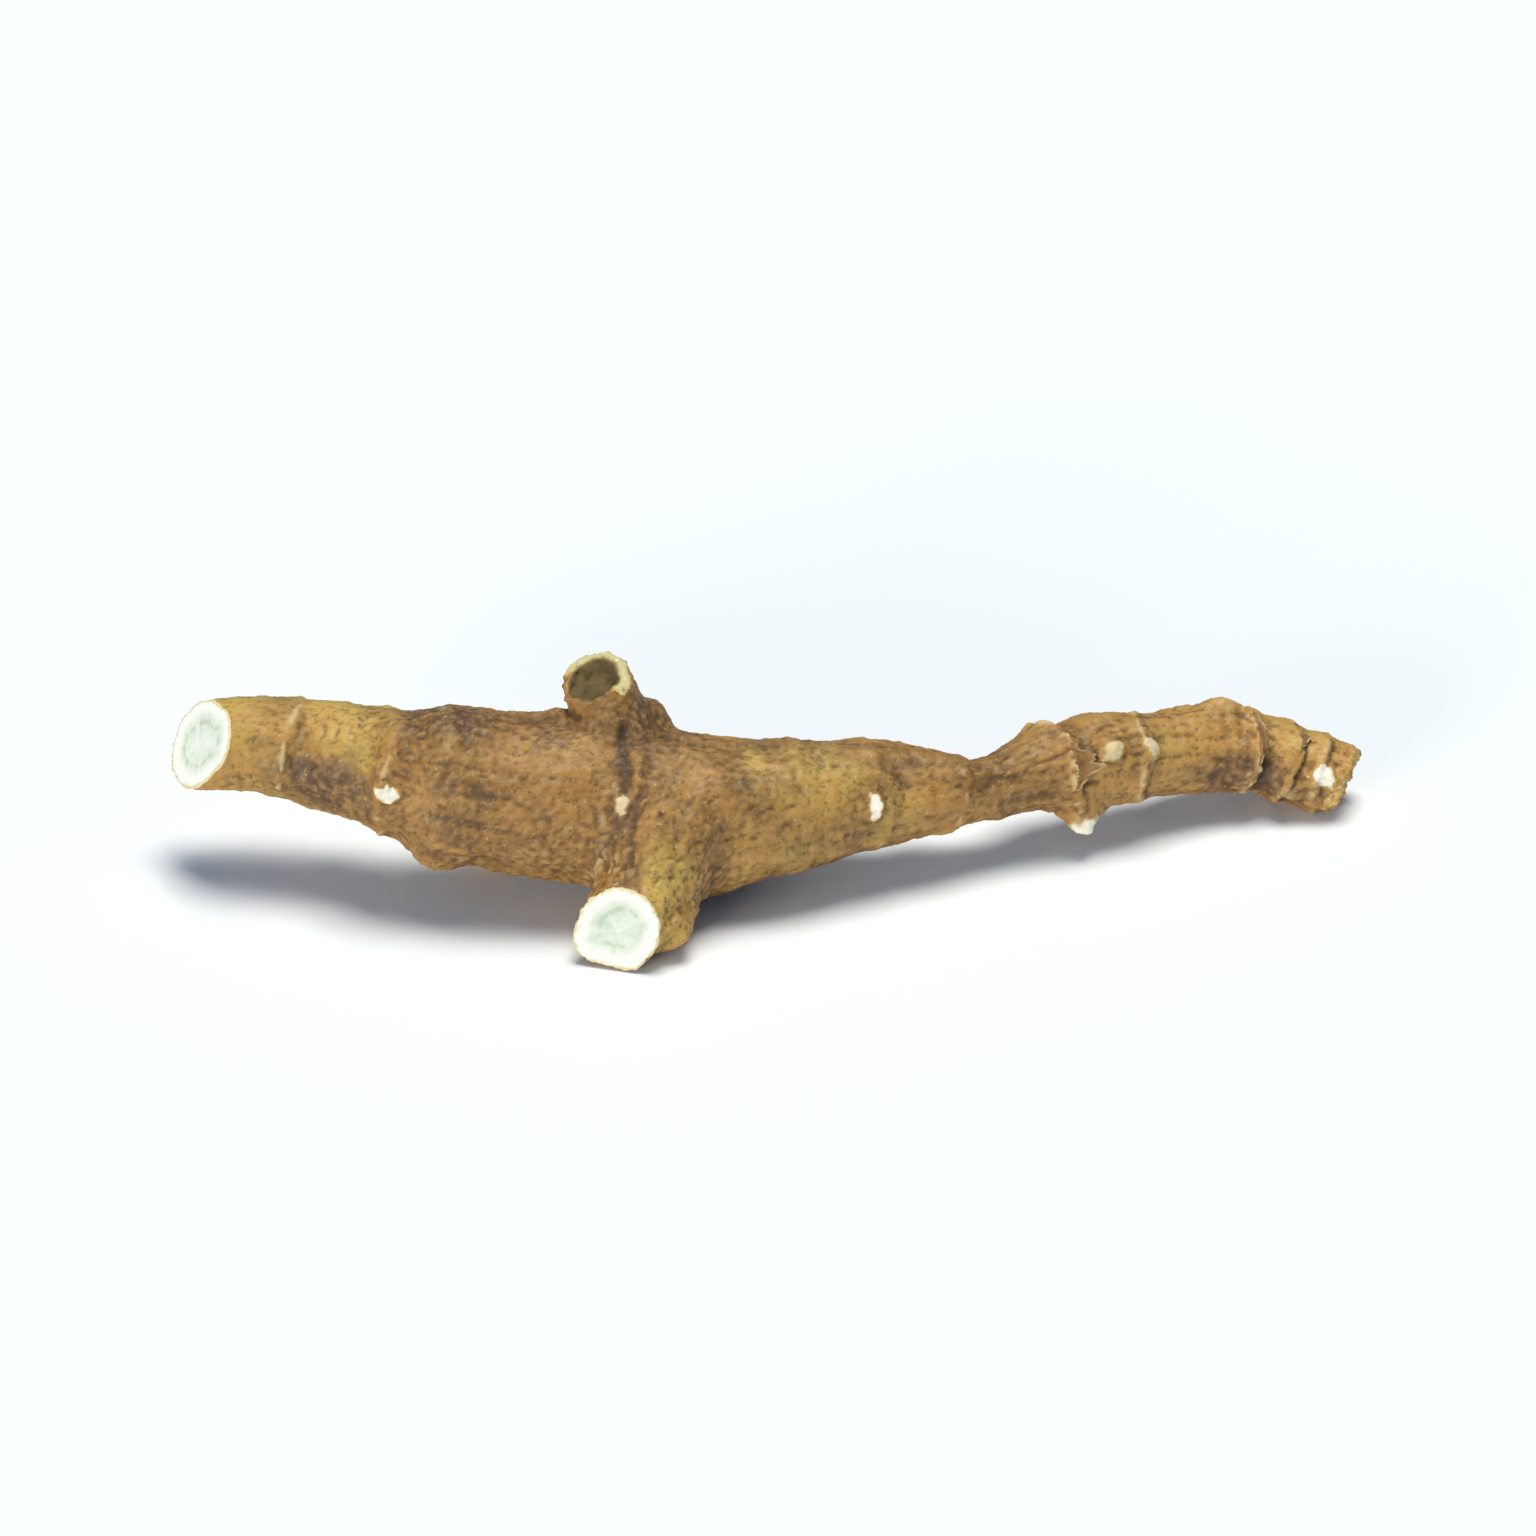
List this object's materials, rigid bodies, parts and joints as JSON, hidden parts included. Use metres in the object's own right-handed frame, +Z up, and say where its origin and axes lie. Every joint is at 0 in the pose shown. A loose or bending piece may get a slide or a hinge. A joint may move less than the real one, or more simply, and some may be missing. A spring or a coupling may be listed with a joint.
{
  "type": "dried anemone rhizome",
  "caption": "Small dried rhizome, spindle-shaped and ringed, with a cut arm, a cut forward stub, a hollow broken stub on top and a knobbly tail, lying on its low points.",
  "frame": {"origin": "middle of the base of the rhizome's box, on the surface that it lies on", "axes": "+X along the rhizome from the cut arm to the tail, +Y away from the cut forward stub, +Z up"},
  "size_m": [0.0282, 0.0092, 0.0058],
  "materials": {
    "dry_rhizome_skin": "matte dry skin, wrinkled; pale starchy flesh on the cut faces"
  },
  "bodies": {
    "root": {"rhizome": "dry_rhizome_skin"}
  },
  "joints": []
}
